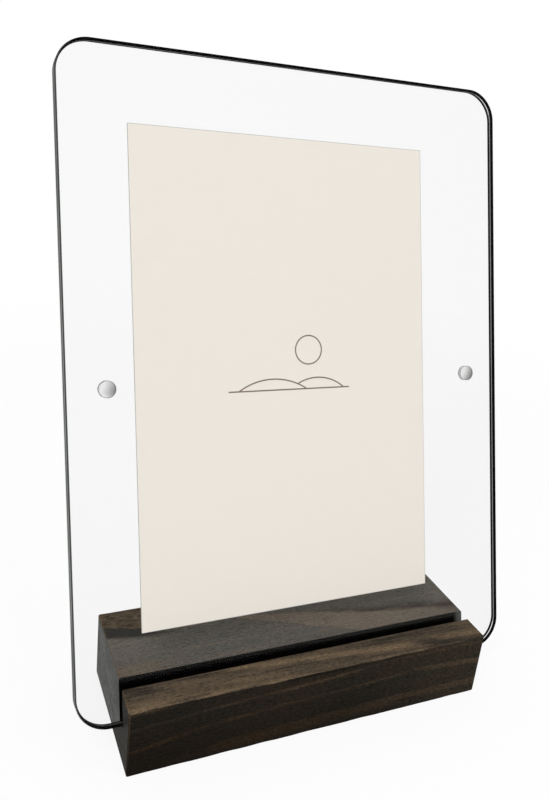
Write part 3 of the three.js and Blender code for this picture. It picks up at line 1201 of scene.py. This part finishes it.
def kinds_of_ray(tree):
    """1 for rays that see the background straight or through clear things, and 1 for mirrored ones."""
    path = add(tree, "ShaderNodeLightPath").outputs
    clear = calc(tree, "MAXIMUM", path["Is Glossy Ray"], path["Is Transmission Ray"])
    mirrored = times(tree, clear, calc(tree, "GREATER_THAN", path["Glossy Depth"], 0.5))
    seen = calc(tree, "MAXIMUM", path["Is Camera Ray"], calc(tree, "SUBTRACT", clear, mirrored))
    return seen, mirrored


def room_level(tree, way):
    """How bright the room is that a mirrored ray meets: bright to the left and above, dim to the right."""
    LIT_WAY = (-1, 0, 0.5)
    DIM_FROM = -0.78
    BRIGHT_FROM = 0.33

    inputs = {
        "Value": reach_along(tree, way, LIT_WAY),
        "From Min": DIM_FROM,
        "From Max": BRIGHT_FROM,
        "To Min": ROOM_DIM,
        "To Max": ROOM_BRIGHT,
    }
    return add(tree, "ShaderNodeMapRange", inputs).outputs[0]


def white_floor():
    """White with a faint shadow round the stand where it is seen, and as bright as the room in mirrors."""
    material, tree, shader = finish_of("white_floor")
    feed(tree, shader, {"Base Color": FLOOR_WHITE, "Roughness": 0.9, "Specular IOR Level": 0})
    place = place_on(tree)
    white = less(tree, ease(tree, length_of(tree, place), SHADOW_FAR, SHADOW_NEAR), FLOOR_SHADOW)
    seen, mirrored = kinds_of_ray(tree)
    share = calc(tree, "MAXIMUM", times(tree, seen, white), mirrored)
    way = add(tree, "ShaderNodeVectorMath", {0: place}, operation="NORMALIZE").outputs[0]
    dim = calc(tree, "SUBTRACT", room_level(tree, way), 1)
    strength = calc(tree, "MULTIPLY_ADD", mirrored, dim, 1)
    glow = add(tree, "ShaderNodeEmission", {"Color": (1, 1, 1, 1), "Strength": strength})
    lay_over(tree, shader, share, glow)
    return material


def studio_world():
    """A background that is white where it is seen, the room in mirrors, and a soft fill light."""
    world = bpy.data.worlds.new("studio")
    world.use_nodes = True
    tree = world.node_tree
    tree.nodes.clear()
    seen, mirrored = kinds_of_ray(tree)
    room = room_level(tree, add(tree, "ShaderNodeTexCoord").outputs["Generated"])
    level = calc(tree, "MULTIPLY_ADD", mirrored, room, seen)
    rest = less(tree, calc(tree, "MAXIMUM", mirrored, seen))
    level = calc(tree, "MULTIPLY_ADD", rest, FILL_LEVEL, level)
    sky = add(tree, "ShaderNodeBackground", {"Color": (1, 1, 1, 1), "Strength": level})
    add(tree, "ShaderNodeOutputWorld", {"Surface": sky.outputs[0]})
    return world


def soft_lamp(name, place, size, power):
    """A round lamp aimed at the stand, which lights it but isn't mirrored in it."""
    data = bpy.data.lights.new(name, "AREA")
    data.shape = "DISK"
    data.size = size
    data.energy = power
    lamp = bpy.data.objects.new(name, data)
    lamp.location = place
    lamp.rotation_euler = (Vector(LAMP_AIM) - Vector(place)).to_track_quat("-Z", "Y").to_euler()
    lamp.visible_glossy = False
    lamp.visible_transmission = False
    bpy.context.scene.collection.objects.link(lamp)


floor_bm = bmesh.new()
bmesh.ops.create_grid(floor_bm, x_segments=1, y_segments=1, size=FLOOR_SIZE / 2)
floor_mesh = bpy.data.meshes.new("floor")
floor_bm.to_mesh(floor_mesh)
floor_bm.free()
floor_mesh.materials.append(white_floor())
floor = bpy.data.objects.new("floor", floor_mesh)
bpy.context.scene.collection.objects.link(floor)
soft_lamp("key_lamp", KEY_PLACE, KEY_SIZE, KEY_POWER)
soft_lamp("side_lamp", SIDE_PLACE, SIDE_SIZE, SIDE_POWER)
bpy.context.scene.world = studio_world()
bpy.context.scene.view_settings.view_transform = "Standard"
